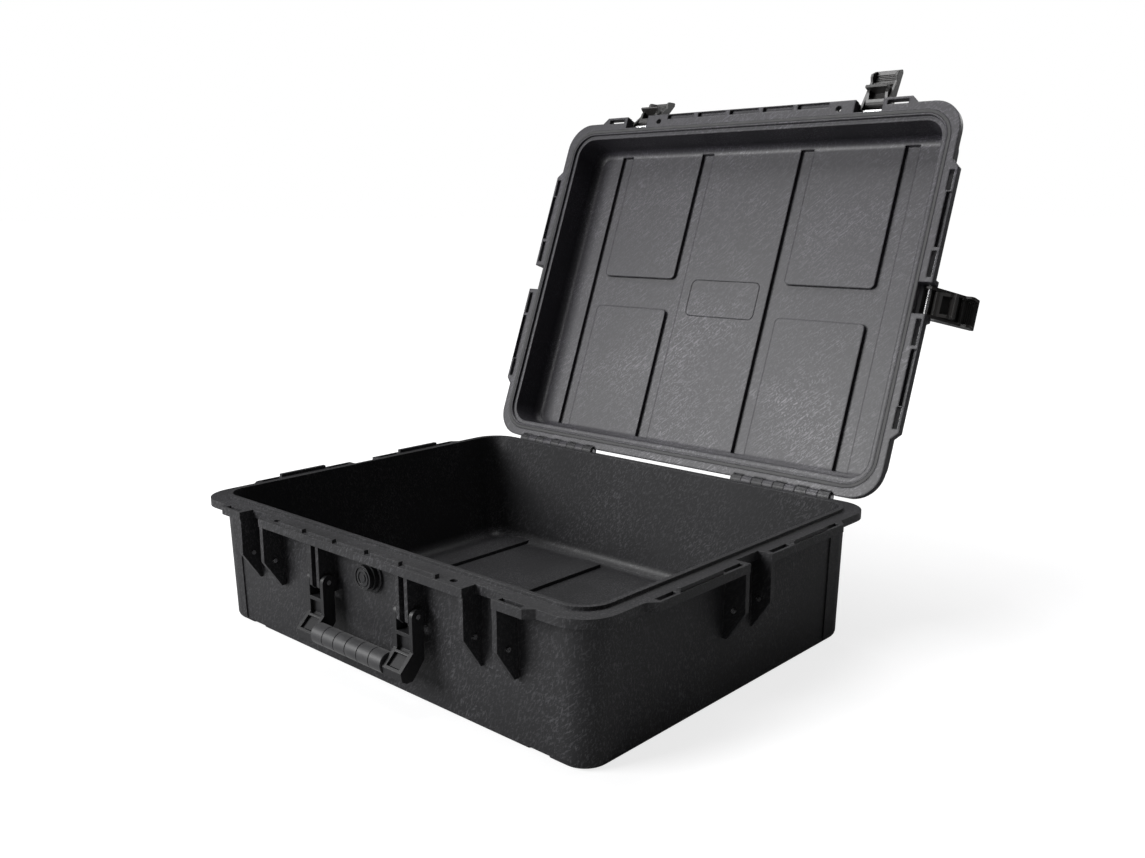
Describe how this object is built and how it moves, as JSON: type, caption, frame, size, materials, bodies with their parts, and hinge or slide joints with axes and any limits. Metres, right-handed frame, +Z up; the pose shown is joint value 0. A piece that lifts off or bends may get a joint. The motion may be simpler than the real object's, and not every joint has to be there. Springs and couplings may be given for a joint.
{
  "type": "hard protective case",
  "caption": "Shallow hard case standing open, with a hinged lid, lever latches, a swinging handle, a sealed rim and a vent valve.",
  "frame": {"origin": "centre of the base's flat underside", "axes": "+X to the right along the front, -Y out of the front, +Z up"},
  "size_m": [0.6824, 0.7539, 0.6543],
  "materials": {
    "shell": "fine grain moulded black",
    "fitting": "satin moulded black",
    "latch": "satin moulded black",
    "grip": "soft ringed rubber",
    "gasket": "soft black seal",
    "membrane": "white vent film",
    "pin": "bright steel"
  },
  "bodies": {
    "base": {"base_shell": "shell", "catch_pins": "pin", "handle_pins": "pin", "hinge_pin_left": "pin", "hinge_pin_right": "pin", "valve_body": "fitting", "valve_seal": "gasket", "valve_cap": "fitting", "valve_membrane": "membrane", "valve_nut": "fitting"},
    "lid": {"lid_shell": "shell", "lid_gasket": "gasket", "front_left_lever_pin": "pin", "front_right_lever_pin": "pin", "end_right_lever_pin": "pin", "end_left_lever_pin": "pin"},
    "handle": {"handle_frame": "fitting", "handle_grip": "grip"},
    "front_left_lever": {"front_left_lever": "latch", "front_left_hook_pin": "pin"},
    "front_left_hook": {"front_left_hook": "latch"},
    "front_right_lever": {"front_right_lever": "latch", "front_right_hook_pin": "pin"},
    "front_right_hook": {"front_right_hook": "latch"},
    "end_right_lever": {"end_right_lever": "latch", "end_right_hook_pin": "pin"},
    "end_right_hook": {"end_right_hook": "latch"},
    "end_left_lever": {"end_left_lever": "latch", "end_left_hook_pin": "pin"},
    "end_left_hook": {"end_left_hook": "latch"}
  },
  "joints": [
    {"name": "lid_hinge", "type": "hinge", "parent": "base", "child": "lid", "pos_m": [0, 0.247, 0.15075], "axis": [1, 0, 0], "range_deg": [0, 110.9]},
    {"name": "handle_swing", "type": "hinge", "parent": "base", "child": "handle", "pos_m": [0, -0.238, 0.099], "axis": [-1, 0, 0], "range_deg": [0, 95]},
    {"name": "front_left_lever_turn", "type": "hinge", "parent": "lid", "child": "front_left_lever", "pos_m": [-0.186, 0.43792, 0.60236], "axis": [-1, 0, 0], "range_deg": [-118, 56]},
    {"name": "front_left_hook_turn", "type": "hinge", "parent": "front_left_lever", "child": "front_left_hook", "pos_m": [-0.186, 0.44719, 0.60846], "axis": [1, 0, 0], "range_deg": [-2, 28]},
    {"name": "front_right_lever_turn", "type": "hinge", "parent": "lid", "child": "front_right_lever", "pos_m": [0.186, 0.43792, 0.60236], "axis": [-1, 0, 0], "range_deg": [-97, 77]},
    {"name": "front_right_hook_turn", "type": "hinge", "parent": "front_right_lever", "child": "front_right_hook", "pos_m": [0.186, 0.44439, 0.61138], "axis": [1, 0, 0], "range_deg": [-2, 28]},
    {"name": "end_right_lever_turn", "type": "hinge", "parent": "lid", "child": "end_right_lever", "pos_m": [0.3105, 0.35123, 0.37534], "axis": [0, 0.3567, 0.9342], "range_deg": [-132, 42]},
    {"name": "end_right_hook_turn", "type": "hinge", "parent": "end_right_lever", "child": "end_right_hook", "pos_m": [0.31767, 0.35915, 0.37232], "axis": [0, -0.3567, -0.9342], "range_deg": [-2, 28]},
    {"name": "end_left_lever_turn", "type": "hinge", "parent": "lid", "child": "end_left_lever", "pos_m": [-0.3105, 0.35123, 0.37534], "axis": [0, -0.3567, -0.9342], "range_deg": [-168, 6]},
    {"name": "end_left_hook_turn", "type": "hinge", "parent": "end_left_lever", "child": "end_left_hook", "pos_m": [-0.31132, 0.36157, 0.37139], "axis": [0, 0.3567, 0.9342], "range_deg": [-2, 28]}
  ]
}
